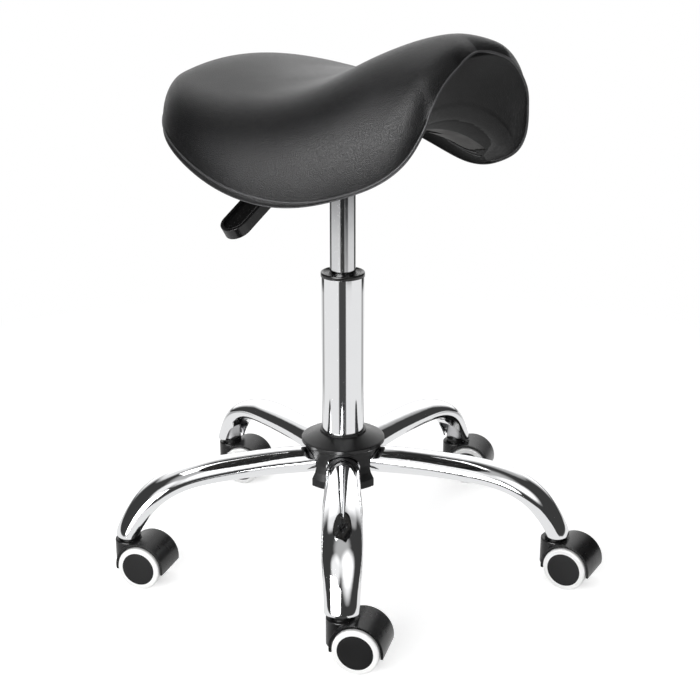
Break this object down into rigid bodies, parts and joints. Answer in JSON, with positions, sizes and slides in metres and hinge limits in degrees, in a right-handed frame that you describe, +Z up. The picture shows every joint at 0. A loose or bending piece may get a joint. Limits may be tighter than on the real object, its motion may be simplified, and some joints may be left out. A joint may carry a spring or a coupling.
{
  "type": "saddle stool",
  "caption": "Saddle-shaped padded seat on a gas lift with a release lever, over a chrome star base with swivelling twin-wheel casters.",
  "frame": {"origin": "on the floor, on the axis of the gas lift", "axes": "+Z up along the gas lift, seat front towards -Y, the lever on the -X side (the sitter's right)"},
  "size_m": [0.5504, 0.5629, 0.6255],
  "materials": {
    "chrome_base": "polished",
    "chrome_column": "polished",
    "chrome_lift": "polished",
    "inner_steel": "satin",
    "hub_plastic": "matte",
    "hub_cover_plastic": "satin",
    "cap_plastic": "satin",
    "guide_plastic": "satin",
    "buffer_rubber": "matte",
    "caster_plastic": "satin",
    "wheel_plastic": "satin",
    "tread_white": "satin",
    "mechanism_black": "satin",
    "lever_plastic": "gloss",
    "pan_wood": "satin",
    "seat_foam": "matte",
    "seat_leather": "satin"
  },
  "bodies": {
    "base": {"leg_1": "chrome_base", "leg_2": "chrome_base", "leg_3": "chrome_base", "leg_4": "chrome_base", "leg_5": "chrome_base", "caster_sockets": "inner_steel", "caster_stems": "inner_steel", "hub_core": "inner_steel", "hub_shell": "hub_plastic", "hub_top_cover": "hub_cover_plastic", "column_tube": "chrome_column", "column_cap": "cap_plastic", "guide_sleeve": "guide_plastic", "bearing_balls": "inner_steel"},
    "rod": {"piston_rod": "inner_steel", "rod_washer": "inner_steel", "bumper": "buffer_rubber", "rod_clip": "inner_steel"},
    "seat": {"lift_tube": "chrome_lift", "lift_guide": "guide_plastic", "seat_housing": "mechanism_black", "seat_plate": "mechanism_black", "seat_fasteners": "inner_steel", "lever_pin": "inner_steel", "seat_pan": "pan_wood", "seat_foam": "seat_foam", "seat_cover": "seat_leather"},
    "button": {"release_button": "inner_steel"},
    "lever": {"lever_bar": "mechanism_black", "lever_paddle": "lever_plastic"},
    "caster_1": {"caster_hood_1": "caster_plastic", "caster_axle_1": "inner_steel"},
    "wheel_a_1": {"wheel_core_a_1": "wheel_plastic", "tyre_a_1": "tread_white"},
    "wheel_b_1": {"wheel_core_b_1": "wheel_plastic", "tyre_b_1": "tread_white"},
    "caster_2": {"caster_hood_2": "caster_plastic", "caster_axle_2": "inner_steel"},
    "wheel_a_2": {"wheel_core_a_2": "wheel_plastic", "tyre_a_2": "tread_white"},
    "wheel_b_2": {"wheel_core_b_2": "wheel_plastic", "tyre_b_2": "tread_white"},
    "caster_3": {"caster_hood_3": "caster_plastic", "caster_axle_3": "inner_steel"},
    "wheel_a_3": {"wheel_core_a_3": "wheel_plastic", "tyre_a_3": "tread_white"},
    "wheel_b_3": {"wheel_core_b_3": "wheel_plastic", "tyre_b_3": "tread_white"},
    "caster_4": {"caster_hood_4": "caster_plastic", "caster_axle_4": "inner_steel"},
    "wheel_a_4": {"wheel_core_a_4": "wheel_plastic", "tyre_a_4": "tread_white"},
    "wheel_b_4": {"wheel_core_b_4": "wheel_plastic", "tyre_b_4": "tread_white"},
    "caster_5": {"caster_hood_5": "caster_plastic", "caster_axle_5": "inner_steel"},
    "wheel_a_5": {"wheel_core_a_5": "wheel_plastic", "tyre_a_5": "tread_white"},
    "wheel_b_5": {"wheel_core_b_5": "wheel_plastic", "tyre_b_5": "tread_white"}
  },
  "joints": [
    {"name": "seat_swivel", "type": "hinge", "parent": "base", "child": "rod", "pos_m": [0, 0, 0.102], "axis": [0, 0, 1], "continuous": true},
    {"name": "seat_lift", "type": "slide", "parent": "rod", "child": "seat", "axis": [0, 0, 1], "range_m": [-0.075, 0.065]},
    {"name": "lever_hinge", "type": "hinge", "parent": "seat", "child": "lever", "pos_m": [-0.038, 0, 0.49], "axis": [0, 1, 0], "range_deg": [0, 6], "stiffness_Nm_per_rad": 1},
    {"name": "button_slide", "type": "slide", "parent": "seat", "child": "button", "axis": [0, 0, -1], "range_m": [0, 0.004]},
    {"name": "caster_swivel_1", "type": "hinge", "parent": "base", "child": "caster_1", "pos_m": [-0.19322, -0.17397, 0.05], "axis": [0, 0, 1], "continuous": true},
    {"name": "wheel_spin_a_1", "type": "hinge", "parent": "caster_1", "child": "wheel_a_1", "pos_m": [-0.18401, -0.19285, 0.0253], "axis": [0.8988, 0.4384, 0], "continuous": true},
    {"name": "wheel_spin_b_1", "type": "hinge", "parent": "caster_1", "child": "wheel_b_1", "pos_m": [-0.18401, -0.19285, 0.0253], "axis": [0.8988, 0.4384, 0], "continuous": true},
    {"name": "caster_swivel_2", "type": "hinge", "parent": "base", "child": "caster_2", "pos_m": [0.10575, -0.23752, 0.05], "axis": [0, 0, 1], "continuous": true},
    {"name": "wheel_spin_a_2", "type": "hinge", "parent": "caster_2", "child": "wheel_a_2", "pos_m": [0.11012, -0.25806, 0.0253], "axis": [0.9781, 0.2079, 0], "continuous": true},
    {"name": "wheel_spin_b_2", "type": "hinge", "parent": "caster_2", "child": "wheel_b_2", "pos_m": [0.11012, -0.25806, 0.0253], "axis": [0.9781, 0.2079, 0], "continuous": true},
    {"name": "caster_swivel_3", "type": "hinge", "parent": "base", "child": "caster_3", "pos_m": [0.25858, 0.02718, 0.05], "axis": [0, 0, 1], "continuous": true},
    {"name": "wheel_spin_a_3", "type": "hinge", "parent": "caster_3", "child": "wheel_a_3", "pos_m": [0.26778, 0.0083, 0.0253], "axis": [0.8988, 0.4384, 0], "continuous": true},
    {"name": "wheel_spin_b_3", "type": "hinge", "parent": "caster_3", "child": "wheel_b_3", "pos_m": [0.26778, 0.0083, 0.0253], "axis": [0.8988, 0.4384, 0], "continuous": true},
    {"name": "caster_swivel_4", "type": "hinge", "parent": "base", "child": "caster_4", "pos_m": [0.05406, 0.25432, 0.05], "axis": [0, 0, 1], "continuous": true},
    {"name": "wheel_spin_a_4", "type": "hinge", "parent": "caster_4", "child": "wheel_a_4", "pos_m": [0.06326, 0.23544, 0.0253], "axis": [0.8988, 0.4384, 0], "continuous": true},
    {"name": "wheel_spin_b_4", "type": "hinge", "parent": "caster_4", "child": "wheel_b_4", "pos_m": [0.06326, 0.23544, 0.0253], "axis": [0.8988, 0.4384, 0], "continuous": true},
    {"name": "caster_swivel_5", "type": "hinge", "parent": "base", "child": "caster_5", "pos_m": [-0.22517, 0.13, 0.05], "axis": [0, 0, 1], "continuous": true},
    {"name": "wheel_spin_a_5", "type": "hinge", "parent": "caster_5", "child": "wheel_a_5", "pos_m": [-0.21663, 0.11082, 0.0253], "axis": [0.9135, 0.4067, 0], "continuous": true},
    {"name": "wheel_spin_b_5", "type": "hinge", "parent": "caster_5", "child": "wheel_b_5", "pos_m": [-0.21663, 0.11082, 0.0253], "axis": [0.9135, 0.4067, 0], "continuous": true}
  ],
  "couplings": [
    {"joint": "button_slide", "follows": "lever_hinge", "m_per_rad": 0.038}
  ]
}
